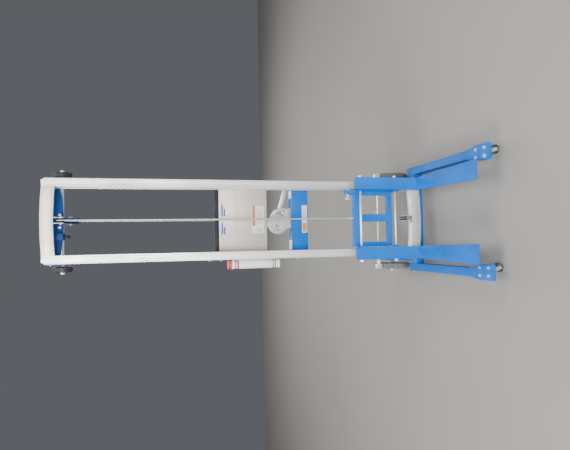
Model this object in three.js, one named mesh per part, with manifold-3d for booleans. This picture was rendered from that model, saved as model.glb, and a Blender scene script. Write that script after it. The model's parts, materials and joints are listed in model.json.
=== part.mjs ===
import * as THREE from "three";
import { mergeVertices } from "three/addons/utils/BufferGeometryUtils.js";
import Module from "manifold-3d";

const wasm = await Module();
wasm.setup();

// Driving dimensions in millimetres. X right, Y away from the forks, Z up.
// The shapes are drawn with the front face of the mast at y = 0; SHIFT_Y centres the whole.
const SHIFT_Y = 76;
const GAP = 0.3;

// Mast columns
const MAST_TOP = 2014;
const COLUMN_OUT = 200.5;
const COLUMN_IN = 161;
const COLUMN_MID = (COLUMN_OUT + COLUMN_IN) / 2;
const INNER_DEPTH = 48;
const INNER_BOTTOM = 92;
const OUTER_FRONT = 49;
const OUTER_BACK = 100;
const OUTER_TOP = 2004;
const WALL = 4;

// Base
const LEG_IN = 252.6;
const LEG_OUT = 293;
const LEG_TOP = 90.4;
const LEG_BOTTOM = 43;
const LEG_REAR = 126;
const SHOE_FRONT = -585;
const SHOE_IN = 233.7;
const SHOE_OUT = 305;
const TUBE_FRONT = 51;
const TUBE_BACK = 102;

// Rear wheels and brake
const AXLE_Y = 331;
const WHEEL_R = 102;
const WHEEL_IN = 256;
const WHEEL_OUT = 290;
const AXLE_R = 8;
const PLATE_IN = 232;
const PLATE_OUT = 240;
const BRAKE_PIVOT_Y = 262;
const BRAKE_PIVOT_Z = 140;
const BRAKE_BAR_Y = 288;
const BRAKE_BAR_Z = 207;

// Front casters
const CASTER_X = 266;
const CASTER_Y = -545;
const CASTER_R = 21;
const CASTER_TRAIL = 16;

// Cable and sheaves
const CABLE_R = 2.5;
const CABLE_X = 3;
const SHEAVE_R = 18;
const HEAD_R = 36;
const CROWN = { x: CABLE_X, y: 20, z: 1934 };
const FOOT = { x: CABLE_X, y: 56, z: 160 };
const HEAD = { x: CABLE_X, y: 110, z: 1905 };

// Winch
const DRUM = { x: -19.8, z: 876, r: 20 };
const GEAR_R = 50.3;
const PINION = { x: 39, z: 846, r: 14.6 };
const BEAM_FRONT = 101;
const BEAM_BACK = 166;
const BEAM_TOP = 799;
const BEAM_BOTTOM = 708;
const CRANK_Y = 205;
const CRANK_END = { x: 198, z: 800 };

// Carriage and forks
const ROD_Y = -30;
const ROD_TOP_Z = 454;
const ROD_LOW_Z = 254;
const FORK_IN = 152;
const FORK_OUT = 218;
const FORK_FACE = -53;
const FORK_TIP = -562;
const FORK_TOP = 134;
const UPRIGHT_TOP = 490;
const ROLLER_Y = 24;
const ROLLER_R = 18.5;

// Loading wheels on the back of the mast head
const LOAD_Y = 150;
const LOAD_Z = 1950;
const LOAD_R = 45;
const LOAD_X = 230;

// Latch between the mast sections
const LATCH_X = -72;
const LATCH_Y = 64;

// Document tube
const TUBE_X = -229;
const TUBE_Y = 75;
const TUBE_R = 22;
const CAP_R = 24.2;

const part = new THREE.Group();
part.name = "material_lift";

const finish = {
  blue: [0x1288f0, 0.38, 0.1],
  darkBlue: [0x1d3f78, 0.45, 0.1],
  aluminium: [0xd2d2d0, 0.35, 0.9],
  zinc: [0xbfc4c4, 0.4, 0.85],
  steel: [0xc9c9c6, 0.3, 0.95],
  black: [0x202226, 0.6, 0.0],
  rubber: [0x5c5f60, 0.85, 0.0],
  hub: [0xa9acac, 0.5, 0.6],
  white: [0xf2f2f0, 0.45, 0.0],
  red: [0xc8403c, 0.45, 0.0],
  cable: [0xb4b4b0, 0.45, 0.8],
};

function materialOf(kind) {
  const [color, roughness, metalness] = finish[kind];
  return new THREE.MeshStandardMaterial({ color, roughness, metalness });
}

// A closed solid from a geometry, ready for joining and cutting.
function solid(geometry) {
  const g = geometry.clone();
  g.deleteAttribute("normal");
  g.deleteAttribute("uv");
  const m = mergeVertices(g, 1e-4);
  const mesh = new wasm.Mesh({
    numProp: 3,
    vertProperties: new Float32Array(m.attributes.position.array),
    triVerts: new Uint32Array(m.index.array),
  });
  return new wasm.Manifold(mesh);
}

function place(name, body, kind) {
  const mesh = body.getMesh();
  const g = new THREE.BufferGeometry();
  g.setAttribute("position", new THREE.BufferAttribute(new Float32Array(mesh.vertProperties), 3));
  g.setIndex(new THREE.BufferAttribute(new Uint32Array(mesh.triVerts), 1));
  const flat = g.toNonIndexed();
  flat.translate(0, SHIFT_Y, 0);
  flat.computeVertexNormals();
  const piece = new THREE.Mesh(flat, materialOf(kind));
  piece.name = name;
  part.add(piece);
}

function join(...bodies) {
  return bodies.reduce((a, b) => a.add(b));
}

function cut(body, ...tools) {
  return tools.reduce((a, b) => a.subtract(b), body);
}

function box(x0, x1, y0, y1, z0, z1) {
  const g = new THREE.BoxGeometry(Math.abs(x1 - x0), Math.abs(y1 - y0), Math.abs(z1 - z0));
  g.translate((x0 + x1) / 2, (y0 + y1) / 2, (z0 + z1) / 2);
  return solid(g);
}

// A cylinder along x, y or z from a0 to a1; c holds the two other coordinates in x, y, z order.
function rod(axis, r, a0, a1, c, sides = 16) {
  const g = new THREE.CylinderGeometry(r, r, Math.abs(a1 - a0), sides);
  const mid = (a0 + a1) / 2;
  if (axis === "x") {
    g.rotateZ(Math.PI / 2);
    g.translate(mid, c[0], c[1]);
  } else if (axis === "y") {
    g.translate(c[0], mid, c[1]);
  } else {
    g.rotateX(Math.PI / 2);
    g.translate(c[0], c[1], mid);
  }
  return solid(g);
}

// A turned shape: profile of [radius, distance along the axis], closed onto the axis or a ring.
function turned(axis, profile, centre, sides = 32) {
  const points = profile.map(([r, a]) => new THREE.Vector2(r, a));
  const g = new THREE.LatheGeometry(points, sides);
  if (axis === "x") {
    g.rotateZ(-Math.PI / 2);
  } else if (axis === "z") {
    g.rotateX(Math.PI / 2);
  }
  g.translate(...centre);
  const body = solid(g);
  return body.volume() < 0 ? solid(flipped(g)) : body;
}

function flipped(g) {
  const index = g.index.array;
  for (let i = 0; i < index.length; i += 3) {
    const keep = index[i];
    index[i] = index[i + 1];
    index[i + 1] = keep;
  }
  return g;
}

// A flat outline pushed along one axis. Outline points are in x, y, z order of the other two.
function slab(axis, outline, a0, a1) {
  const shape = new THREE.Shape(outline.map(([u, v]) => new THREE.Vector2(u, v)));
  const g = new THREE.ExtrudeGeometry(shape, { depth: Math.abs(a1 - a0), bevelEnabled: false });
  if (axis === "x") {
    g.rotateX(Math.PI / 2);
    g.rotateZ(Math.PI / 2);
    g.translate(Math.min(a0, a1), 0, 0);
  } else if (axis === "y") {
    g.rotateX(Math.PI / 2);
    g.translate(0, Math.max(a0, a1), 0);
  } else {
    g.translate(0, 0, Math.min(a0, a1));
  }
  return solid(g);
}

// The outline around two circles and any extra points.
function hull(points) {
  const sorted = [...points].sort((a, b) => a[0] - b[0] || a[1] - b[1]);
  const turn = (o, a, b) => (a[0] - o[0]) * (b[1] - o[1]) - (a[1] - o[1]) * (b[0] - o[0]);
  const chain = (list) => {
    const out = [];
    for (const p of list) {
      while (out.length > 1 && turn(out[out.length - 2], out[out.length - 1], p) <= 0) {
        out.pop();
      }
      out.push(p);
    }
    out.pop();
    return out;
  };
  return [...chain(sorted), ...chain(sorted.reverse())];
}

function circle(x, y, r, n = 24) {
  const out = [];
  for (let i = 0; i < n; i += 1) {
    const t = (2 * Math.PI * i) / n;
    out.push([x + r * Math.cos(t), y + r * Math.sin(t)]);
  }
  return out;
}

// A bar between two heights that bows by `bow` in the middle.
function arch(halfWidth, low, high, bow, y0, y1, steps = 14) {
  const outline = [];
  const rise = (x) => bow * (1 - (x / halfWidth) ** 2);
  for (let i = 0; i <= steps; i += 1) {
    const x = -halfWidth + (2 * halfWidth * i) / steps;
    outline.push([x, low + rise(x)]);
  }
  for (let i = steps; i >= 0; i -= 1) {
    const x = -halfWidth + (2 * halfWidth * i) / steps;
    outline.push([x, high + rise(x)]);
  }
  return slab("y", outline, y0, y1);
}

// ---------------------------------------------------------------- base
const crossTube = cut(
  box(-(LEG_IN - GAP), LEG_IN - GAP, TUBE_FRONT, TUBE_BACK, LEG_BOTTOM - 2, LEG_TOP),
  box(-300, 300, TUBE_FRONT + WALL, TUBE_BACK - WALL, LEG_BOTTOM - 2 + WALL, LEG_TOP - WALL),
);
place("base_cross_tube", crossTube, "blue");

for (const [side, s] of [["left", -1], ["right", 1]]) {
  const tube = cut(
    box(s * LEG_IN, s * LEG_OUT, -492, LEG_REAR, LEG_BOTTOM, LEG_TOP),
    box(s * (LEG_IN + WALL), s * (LEG_OUT - WALL), -600, 200, LEG_BOTTOM + WALL, LEG_TOP - WALL),
  );
  const shoeOutline = [
    [s * LEG_IN, -435],
    [s * LEG_OUT, -435],
    [s * SHOE_OUT, -520],
    [s * SHOE_OUT, SHOE_FRONT],
    [s * SHOE_IN, SHOE_FRONT],
    [s * SHOE_IN, -520],
  ];
  const hollow = [
    [s * (LEG_IN + WALL), -480],
    [s * (LEG_OUT - WALL), -480],
    [s * (SHOE_OUT - WALL), -522],
    [s * (SHOE_OUT - WALL), SHOE_FRONT + WALL],
    [s * (SHOE_IN + WALL), SHOE_FRONT + WALL],
    [s * (SHOE_IN + WALL), -522],
  ];
  const shoe = cut(
    slab("z", shoeOutline, 64, LEG_TOP),
    slab("z", hollow, 60, LEG_TOP - 6),
  );
  let leg = join(tube, shoe);
  for (const dx of [-18, 18]) {
    for (const dy of [-27, 33]) {
      const at = [s * CASTER_X + dx, CASTER_Y + dy];
      leg = leg.add(rod("z", 6, LEG_TOP - 3, LEG_TOP + 4, at, 12));
    }
  }
  place(`${side}_leg`, leg, "blue");

  const plateOutline = [
    [TUBE_BACK + GAP, 45],
    [TUBE_BACK + GAP, 88],
    [200, 104],
    [284, 166],
    [330, 166],
    [352, 128],
    [352, 84],
    [324, 62],
    [200, 45],
  ];
  const plate = cut(
    slab("x", plateOutline, s * PLATE_IN, s * PLATE_OUT),
    rod("x", AXLE_R + GAP, s * 220, s * 250, [AXLE_Y, WHEEL_R]),
    rod("x", 5 + GAP, s * 220, s * 250, [BRAKE_PIVOT_Y, BRAKE_PIVOT_Z], 16),
  );
  place(`${side}_axle_plate`, plate, "blue");

  const tyre = turned(
    "x",
    [[70, -15], [94, -17], [100, -13], [WHEEL_R, -6], [WHEEL_R, 6], [100, 13], [94, 17], [70, 15], [70, -15]],
    [s * (WHEEL_IN + WHEEL_OUT) / 2, AXLE_Y, WHEEL_R],
    32,
  );
  place(`${side}_rear_tyre`, tyre, "rubber");
  const hubProfile = [
    [AXLE_R + GAP, -22],
    [20, -22],
    [20, -8],
    [60, -5],
    [60, -14],
    [69, -14],
    [69, 14],
    [60, 14],
    [60, 5],
    [20, 8],
    [20, 22],
    [AXLE_R + GAP, 22],
    [AXLE_R + GAP, -22],
  ];
  const hub = turned(
    "x",
    hubProfile.map(([r, a]) => [r, s * a]),
    [s * (WHEEL_IN + WHEEL_OUT) / 2, AXLE_Y, WHEEL_R],
    20,
  );
  place(`${side}_rear_hub`, hub, "hub");

  const padOuter = 107;
  const padSpan = [];
  const startAngle = 1.62;
  const endAngle = 2.05;
  for (let i = 0; i <= 6; i += 1) {
    const t = startAngle + ((endAngle - startAngle) * i) / 6;
    padSpan.push([AXLE_Y + (WHEEL_R + 2.5) * Math.cos(t), WHEEL_R + (WHEEL_R + 2.5) * Math.sin(t)]);
  }
  for (let i = 6; i >= 0; i -= 1) {
    const t = startAngle + ((endAngle - startAngle) * i) / 6;
    padSpan.push([AXLE_Y + padOuter * Math.cos(t), WHEEL_R + padOuter * Math.sin(t)]);
  }
  place(`${side}_brake_pad`, slab("x", padSpan, s * 258, s * 288), "white");
}

place("rear_axle", rod("x", AXLE_R, -304.5, 304.5, [AXLE_Y, WHEEL_R]), "steel");

// Foot brake: one bar across both wheels, two arms down to pivots in the axle plates.
let brake = rod("x", 6, -284, 284, [BRAKE_BAR_Y, BRAKE_BAR_Z], 16);
for (const s of [-1, 1]) {
  const armOutline = hull([
    ...circle(BRAKE_PIVOT_Y, BRAKE_PIVOT_Z, 11, 12),
    ...circle(BRAKE_BAR_Y, BRAKE_BAR_Z, 10, 12),
  ]);
  const holder = [];
  for (let i = 0; i <= 4; i += 1) {
    const t = 1.7 + (0.42 * i) / 4;
    holder.push([AXLE_Y + 107.3 * Math.cos(t), WHEEL_R + 107.3 * Math.sin(t)]);
  }
  holder.push([BRAKE_BAR_Y - 14, BRAKE_BAR_Z + 22]);
  holder.push([BRAKE_BAR_Y + 6, BRAKE_BAR_Z + 22]);
  brake = brake.add(slab("x", armOutline, s * 224, s * 230));
  brake = brake.add(rod("x", 5, s * 226, s * 239, [BRAKE_PIVOT_Y, BRAKE_PIVOT_Z], 16));
  brake = brake.add(slab("x", holder, s * 261, s * 285));
  brake = brake.add(rod("x", 13, s * 240, s * 254.5, [BRAKE_BAR_Y, BRAKE_BAR_Z], 20));
}
brake = brake.add(box(24, 64, BRAKE_BAR_Y - 3, BRAKE_BAR_Y + 52, BRAKE_BAR_Z, BRAKE_BAR_Z + 5));
place("brake_bar", brake, "steel");

// ---------------------------------------------------------------- front casters
for (const [side, s] of [["left", -1], ["right", 1]]) {
  const x = s * CASTER_X;
  const wheelX = x + CASTER_TRAIL;
  const stem = rod("z", 9, 60, LEG_TOP - 6 - GAP, [x, CASTER_Y], 20);
  const top = rod("z", 20, 74, LEG_TOP - 6 - GAP, [x, CASTER_Y], 24);
  const cheekOutline = hull([
    ...circle(wheelX, CASTER_R, 8, 12),
    [x - 12, 70],
    [x + 12, 70],
  ]);
  let fork = join(stem, top, rod("z", 17, 66, 76, [x, CASTER_Y], 24));
  for (const d of [-1, 1]) {
    fork = fork.add(slab("y", cheekOutline, CASTER_Y + d * 12.5, CASTER_Y + d * 15.5));
  }
  fork = fork.add(rod("y", 4, CASTER_Y - 17, CASTER_Y + 17, [wheelX, CASTER_R], 12));
  place(`${side}_caster_fork`, fork, "zinc");
  const rim = CASTER_R - 3;
  const wheel = turned(
    "y",
    [[4 + GAP, -12], [rim, -12], [CASTER_R, -9], [CASTER_R, 9], [rim, 12], [4 + GAP, 12], [4 + GAP, -12]],
    [wheelX, CASTER_Y, CASTER_R],
    20,
  );
  place(`${side}_caster_wheel`, wheel, "black");
}

// ---------------------------------------------------------------- fixed mast
function columnProfile(s, points) {
  return points.map(([x, y]) => [s * x, y]);
}

for (const [side, s] of [["left", -1], ["right", 1]]) {
  const m = COLUMN_MID;
  const outer = columnProfile(s, [
    [COLUMN_IN, OUTER_FRONT],
    [m - 5, OUTER_FRONT],
    [m - 5, 52.2],
    [m - 10, 52.2],
    [m - 10, 58],
    [m + 10, 58],
    [m + 10, 52.2],
    [m + 5, 52.2],
    [m + 5, OUTER_FRONT],
    [COLUMN_OUT, OUTER_FRONT],
    [COLUMN_OUT, OUTER_BACK],
    [COLUMN_IN, OUTER_BACK],
    [COLUMN_IN, OUTER_BACK - WALL],
    [COLUMN_OUT - WALL, OUTER_BACK - WALL],
    [COLUMN_OUT - WALL, 62],
    [COLUMN_IN, 62],
  ]);
  place(`${side}_outer_column`, slab("z", outer, LEG_TOP + GAP, OUTER_TOP), "aluminium");
  const inner = columnProfile(s, [
    [COLUMN_IN, 0],
    [COLUMN_OUT, 0],
    [COLUMN_OUT, INNER_DEPTH],
    [m + 4, INNER_DEPTH],
    [m + 4, 53],
    [m + 9, 53],
    [m + 9, 57],
    [m - 9, 57],
    [m - 9, 53],
    [m - 4, 53],
    [m - 4, INNER_DEPTH],
    [COLUMN_IN, INNER_DEPTH],
    [COLUMN_IN, 43],
    [COLUMN_OUT - WALL, 43],
    [COLUMN_OUT - WALL, 5],
    [COLUMN_IN, 5],
  ]);
  const topCorner = [
    [s * (COLUMN_OUT + 1), 1999],
    [s * (COLUMN_OUT + 1), MAST_TOP + 1],
    [s * 190, MAST_TOP + 1],
  ];
  const innerColumn = cut(slab("z", inner, INNER_BOTTOM, MAST_TOP), slab("y", topCorner, -5, 60));
  place(`${side}_inner_column`, innerColumn, "aluminium");

  const bracketOutline = [[54, 1918], [120, 1918], [166, 1936], [166, 1964], [128, 2004], [54, 2004]];
  const bracket = cut(
    slab("x", bracketOutline, s * (COLUMN_OUT + GAP), s * (COLUMN_OUT + 5.5)),
    rod("x", 7 + GAP, s * 190, s * 220, [LOAD_Y, LOAD_Z], 20),
  );
  place(`${side}_load_bracket`, bracket, "blue");
  const wheel = turned(
    "x",
    [
      [7 + GAP, -14], [LOAD_R - 5, -14], [LOAD_R, -10], [LOAD_R, 10],
      [LOAD_R - 5, 14], [7 + GAP, 14], [7 + GAP, -14],
    ],
    [s * LOAD_X, LOAD_Y, LOAD_Z],
    20,
  );
  place(`${side}_load_wheel`, wheel, "black");
}

place("load_wheel_rod", rod("x", 7, -256, 256, [LOAD_Y, LOAD_Z], 20), "steel");

// Head tie: a plate with a bowed lower edge, two sheave cheeks, a pin and the latch guide.
const tieOutline = [[-COLUMN_OUT, 2000], [-COLUMN_OUT, 1958]];
for (let i = 1; i < 12; i += 1) {
  const x = -COLUMN_OUT + (2 * COLUMN_OUT * i) / 12;
  tieOutline.push([x, 1936 + 22 * (x / COLUMN_OUT) ** 2]);
}
tieOutline.push([COLUMN_OUT, 1958], [COLUMN_OUT, 2000]);
let headTie = cut(
  slab("y", tieOutline, OUTER_BACK + GAP, OUTER_BACK + 5.5),
  box(HEAD.x - 11, HEAD.x + 11, 90, 120, 1900, 1949),
);
const cheek = [
  [78, 1972], [130, 1972], [138, 1930], [138, 1890],
  [120, 1866], [98, 1866], [72, 1890], [72, 1930],
];
headTie = headTie.add(slab("x", cheek, HEAD.x - 14, HEAD.x - 11));
headTie = headTie.add(slab("x", cheek, HEAD.x + 11, HEAD.x + 14));
headTie = headTie.add(rod("x", 5, HEAD.x - 22, HEAD.x + 22, [HEAD.y, HEAD.z], 16));
headTie = headTie.add(cut(
  box(LATCH_X - 16, LATCH_X + 16, 52, OUTER_BACK + 1, 1930, 1972),
  rod("z", 6 + GAP, 1900, 2000, [LATCH_X, LATCH_Y], 16),
));
place("head_tie", headTie, "darkBlue");

const latch = join(
  rod("z", 6, 1905, 1984, [LATCH_X, LATCH_Y], 16),
  rod("z", 8, 1900, 1913, [LATCH_X, LATCH_Y], 16),
);
place("mast_latch", latch, "blue");

// Cover tie: a channel across the back with wings on the outer faces of the columns.
let coverTie = box(-204.5, 204.5, OUTER_BACK + GAP, OUTER_BACK + 5, 1191, 1213);
for (const s of [-1, 1]) {
  coverTie = coverTie.add(box(s * (COLUMN_OUT + GAP), s * 204.5, 56, OUTER_BACK + 5, 1172, 1258));
}
place("cover_tie", coverTie, "blue");
place("cover_plate", box(-198, 198, OUTER_BACK + GAP, OUTER_BACK + 2.3, 937, 1190.5), "aluminium");

// Winch beam: a channel open to the back with wings on the columns.
let beam = cut(
  box(-190, 190, BEAM_FRONT, BEAM_BACK, BEAM_BOTTOM, BEAM_TOP),
  box(-186, 186, BEAM_FRONT + WALL, BEAM_BACK + 10, BEAM_BOTTOM + WALL, BEAM_TOP - WALL),
);
for (const s of [-1, 1]) {
  beam = beam.add(box(s * 188, s * 204.5, BEAM_FRONT, BEAM_FRONT + 5, 712, 792));
  beam = beam.add(box(s * (COLUMN_OUT + GAP), s * 204.5, 56, BEAM_FRONT + 4, 712, 792));
}
place("winch_beam", beam, "blue");

// ---------------------------------------------------------------- winch
const plateShape = hull([
  ...circle(DRUM.x, DRUM.z, 46, 28),
  [40, 899],
  [57, 884],
  [65, 868],
  [65, BEAM_TOP + GAP],
  [-46, BEAM_TOP + GAP],
]);
const shaftHole = rod("y", 8 + GAP, 90, 180, [PINION.x, PINION.z], 20);
let frame = cut(slab("y", plateShape, 110, 113.5), shaftHole);
frame = frame.add(cut(slab("y", plateShape, 154, 157.5), shaftHole));
frame = frame.add(box(-46, 65, 111, 157, BEAM_TOP + GAP, BEAM_TOP + 4));
frame = frame.add(rod("y", 6, 109, 160, [DRUM.x, DRUM.z], 16));
place("winch_frame", frame, "zinc");

const cover = cut(
  turned("y", [[0, 104], [43, 104], [53, 105.5], [56, 109.7], [0, 109.7], [0, 104]], [DRUM.x, 0, DRUM.z], 28),
  rod("y", 6 + GAP, 108.8, 112, [DRUM.x, DRUM.z], 16),
);
place("winch_gear_cover", cover, "zinc");

const drumProfile = [
  [6 + GAP, 114.5],
  [GEAR_R, 114.5],
  [GEAR_R, 121],
  [DRUM.r, 121],
  [DRUM.r, 149],
  [44, 149],
  [44, 152.5],
  [6 + GAP, 152.5],
  [6 + GAP, 114.5],
];
place("winch_drum", turned("y", drumProfile, [DRUM.x, 0, DRUM.z], 24), "zinc");

const shaft = join(
  rod("y", 8, 106, CRANK_Y - GAP, [PINION.x, PINION.z], 20),
  rod("y", PINION.r, 115, 122, [PINION.x, PINION.z], 24),
);
place("winch_pinion_shaft", shaft, "steel");

const armShape = hull([
  ...circle(PINION.x, PINION.z, 14, 16),
  ...circle(CRANK_END.x, CRANK_END.z, 11, 16),
]);
const arm = join(
  slab("y", armShape, CRANK_Y, CRANK_Y + 7),
  rod("y", 6, CRANK_Y + 3, CRANK_Y + 122, [CRANK_END.x, CRANK_END.z], 16),
);
place("crank_arm", arm, "steel");
const grip = turned(
  "y",
  [[6 + GAP, 0], [13, 0], [15, 12], [14, 60], [15, 98], [12, 108], [6 + GAP, 108], [6 + GAP, 0]],
  [CRANK_END.x, CRANK_Y + 8, CRANK_END.z],
  16,
);
place("crank_grip", grip, "black");

// ---------------------------------------------------------------- moving mast crossbars
const barHalf = COLUMN_IN - GAP;
let topBar = join(
  arch(barHalf, 1957, MAST_TOP, 7, 0.5, 5),
  arch(barHalf, MAST_TOP - 5, MAST_TOP, 7, 3, INNER_DEPTH - 0.5),
  arch(barHalf, 1957, 1962, 7, 3, 14),
);
topBar = cut(topBar, box(CROWN.x - 10, CROWN.x + 10, 4.9, 50, 1950, 1975));
topBar = topBar.add(box(LATCH_X - 17, LATCH_X + 17, INNER_DEPTH - 4, 76, 1996, 2001));
topBar = topBar.add(box(LATCH_X - 17, LATCH_X + 17, INNER_DEPTH - 4, INNER_DEPTH - 0.5, 1996, 2016));
topBar = topBar.subtract(rod("z", 7, 1990, 2006, [LATCH_X, LATCH_Y], 16));
for (const s of [-1, 1]) {
  topBar = topBar.add(box(CROWN.x + s * 12, CROWN.x + s * 15, 4, 36, 1920, 2012));
}
topBar = topBar.add(rod("x", 5, CROWN.x - 20, CROWN.x + 20, [CROWN.y, CROWN.z], 16));
place("top_crossbar", topBar, "aluminium");

let lowBar = join(
  arch(barHalf, 92, 144, -8, 0.5, 5),
  arch(barHalf, 139, 144, -8, 3, INNER_DEPTH - 0.5),
);
lowBar = cut(lowBar, box(FOOT.x - 11, FOOT.x + 11, 6, 60, 120, 150));
const lug = [[1, 134], [INNER_DEPTH, 134], [78, 146], [78, 172], [46, 180], [20, 172], [1, 150]];
for (const s of [-1, 1]) {
  lowBar = lowBar.add(slab("x", lug, FOOT.x + s * 12, FOOT.x + s * 15));
}
lowBar = lowBar.add(rod("x", 5, FOOT.x - 18, FOOT.x + 18, [FOOT.y, FOOT.z], 16));
place("bottom_crossbar", lowBar, "aluminium");

// ---------------------------------------------------------------- sheaves
function sheave(pitch, half = 6) {
  const rim = pitch + 4;
  const floor = pitch - CABLE_R - GAP;
  return [
    [5 + GAP, -half],
    [rim, -half],
    [rim, -half + 1],
    [floor, -3.2],
    [floor, 3.2],
    [rim, half - 1],
    [rim, half],
    [5 + GAP, half],
    [5 + GAP, -half],
  ];
}
place("crown_sheave", turned("x", sheave(SHEAVE_R, 9), [CROWN.x, CROWN.y, CROWN.z], 20), "black");
place("head_sheave", turned("x", sheave(HEAD_R, 8), [HEAD.x, HEAD.y, HEAD.z], 28), "black");
place("foot_sheave", turned("x", sheave(SHEAVE_R, 9), [FOOT.x, FOOT.y, FOOT.z], 20), "black");

// ---------------------------------------------------------------- cable
class Bend extends THREE.Curve {
  // Half a turn about a level pin, over the top (up = 1) or under the bottom (up = -1).
  constructor(centre, r, up) {
    super();
    Object.assign(this, { centre, r, up });
  }

  getPoint(t, target = new THREE.Vector3()) {
    const a = Math.PI * t;
    return target.set(
      this.centre.x,
      this.centre.y - this.r * Math.cos(a),
      this.centre.z + this.up * this.r * Math.sin(a),
    );
  }
}

function bend(centre, r, up) {
  const section = new THREE.Shape(circle(0, 0, CABLE_R, 8).map(([u, v]) => new THREE.Vector2(u, v)));
  const path = new Bend(centre, r, up);
  const steps = Math.round(r / 1.8);
  const g = new THREE.ExtrudeGeometry(section, { steps, extrudePath: path, bevelEnabled: false });
  return solid(g);
}

function straight(from, to) {
  const a = new THREE.Vector3(...from);
  const b = new THREE.Vector3(...to);
  const g = new THREE.CylinderGeometry(CABLE_R, CABLE_R, a.distanceTo(b), 8);
  const direction = b.clone().sub(a).normalize();
  const turnTo = new THREE.Quaternion().setFromUnitVectors(new THREE.Vector3(0, 1, 0), direction);
  g.applyQuaternion(turnTo);
  g.translate((a.x + b.x) / 2, (a.y + b.y) / 2, (a.z + b.z) / 2);
  return solid(g);
}

const winchRun = join(
  straight([CABLE_X, HEAD.y + HEAD_R, DRUM.z - 6], [HEAD.x, HEAD.y + HEAD_R, HEAD.z + 0.6]),
  bend(HEAD, HEAD_R, 1),
);
place("cable_winch_run", winchRun, "cable");
place(
  "cable_middle_run",
  straight([HEAD.x, HEAD.y - HEAD_R, FOOT.z + 0.2], [HEAD.x, HEAD.y - HEAD_R, HEAD.z - 0.2]),
  "cable",
);
const innerRun = join(
  bend(FOOT, SHEAVE_R, -1),
  straight([CROWN.x, CROWN.y + SHEAVE_R, FOOT.z - 0.6], [CROWN.x, CROWN.y + SHEAVE_R, CROWN.z + 0.6]),
  bend(CROWN, SHEAVE_R, 1),
);
place("cable_inner_run", innerRun, "cable");
place(
  "cable_front_run",
  straight([CROWN.x, CROWN.y - SHEAVE_R, 486.3], [CROWN.x, CROWN.y - SHEAVE_R, CROWN.z - 0.2]),
  "cable",
);

// ---------------------------------------------------------------- carriage
let carriage = join(
  box(-150, 150, -12, 14, 454, 486),
  box(-150, 150, -12, 14, 265, 289),
  box(-16, 24, -12, -4, 280, 460),
);
for (const s of [-1, 1]) {
  carriage = carriage.add(box(s * 144, s * 150, -40, 40, 240, 486));
  carriage = carriage.add(box(s * 124, s * 150, -12, -6, 265, 486));
  for (const z of [285, 445]) {
    carriage = carriage.add(rod("x", 6, s * 146, s * 191, [ROLLER_Y, z], 16));
    const name = `${s < 0 ? "left" : "right"}_${z > 400 ? "upper" : "lower"}_roller`;
    const roller = turned(
      "x",
      [[6 + GAP, -11], [ROLLER_R, -11], [ROLLER_R, 11], [6 + GAP, 11], [6 + GAP, -11]],
      [s * 178, ROLLER_Y, z],
      16,
    );
    place(name, roller, "black");
  }
}
carriage = carriage.add(box(128, 150, -40, -12, 486 - 6, 540));
carriage = cut(
  carriage,
  rod("x", 6.5 + GAP, -200, 200, [ROD_Y, ROD_TOP_Z], 20),
  rod("x", 5 + GAP, -200, 200, [ROD_Y, ROD_LOW_Z], 20),
  rod("x", 5 + GAP, 100, 160, [-26, 524], 16),
);
place("carriage_frame", carriage, "blue");

for (const [side, s] of [["left", -1], ["right", 1]]) {
  const upright = [
    [s * FORK_IN, FORK_TOP - 9],
    [s * FORK_OUT, FORK_TOP - 9],
    [s * FORK_OUT, UPRIGHT_TOP - 12],
    [s * (FORK_OUT - 10), UPRIGHT_TOP],
    [s * (FORK_IN + 6), UPRIGHT_TOP],
    [s * FORK_IN, UPRIGHT_TOP - 8],
  ];
  const blade = [
    [s * FORK_IN, FORK_FACE + 9],
    [s * FORK_OUT, FORK_FACE + 9],
    [s * FORK_OUT, FORK_FACE],
    [s * 233, FORK_TIP],
    [s * 143, FORK_TIP],
    [s * FORK_IN, FORK_FACE],
  ];
  const cheekShape = [[-50, 200], [-14, 236], [-14, 478], [-50, 478]];
  let fork = join(
    slab("y", upright, FORK_FACE, FORK_FACE + 9),
    slab("z", blade, FORK_TOP - 9, FORK_TOP),
    slab("x", cheekShape, s * FORK_IN, s * (FORK_IN + 6)),
    slab("x", cheekShape, s * (FORK_OUT - 6), s * FORK_OUT),
  );
  fork = cut(
    fork,
    rod("x", 6.5 + GAP, s * 140, s * 230, [ROD_Y, ROD_TOP_Z], 20),
    rod("x", 5 + GAP, s * 140, s * 230, [ROD_Y, ROD_LOW_Z], 20),
  );
  place(`${side}_fork`, fork, "blue");
}

function forkRod(r, z, nut) {
  const bar = rod("x", r, -230, 230, [ROD_Y, z], 20);
  return join(
    bar,
    rod("x", nut, -229, -219, [ROD_Y, z], 6),
    rod("x", nut, 219, 229, [ROD_Y, z], 6),
  );
}
place("upper_fork_rod", forkRod(6.5, ROD_TOP_Z, 11), "steel");
place("lower_fork_rod", forkRod(5, ROD_LOW_Z, 9), "steel");

// Lock pin: a T-handled plunger through the lug, its nose over the top of the right fork.
const pin = join(
  rod("x", 5, 100, 158, [-26, 524], 16),
  rod("z", 5, 512, 536, [104, -26], 12),
);
place("lock_pin", pin, "steel");

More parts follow.
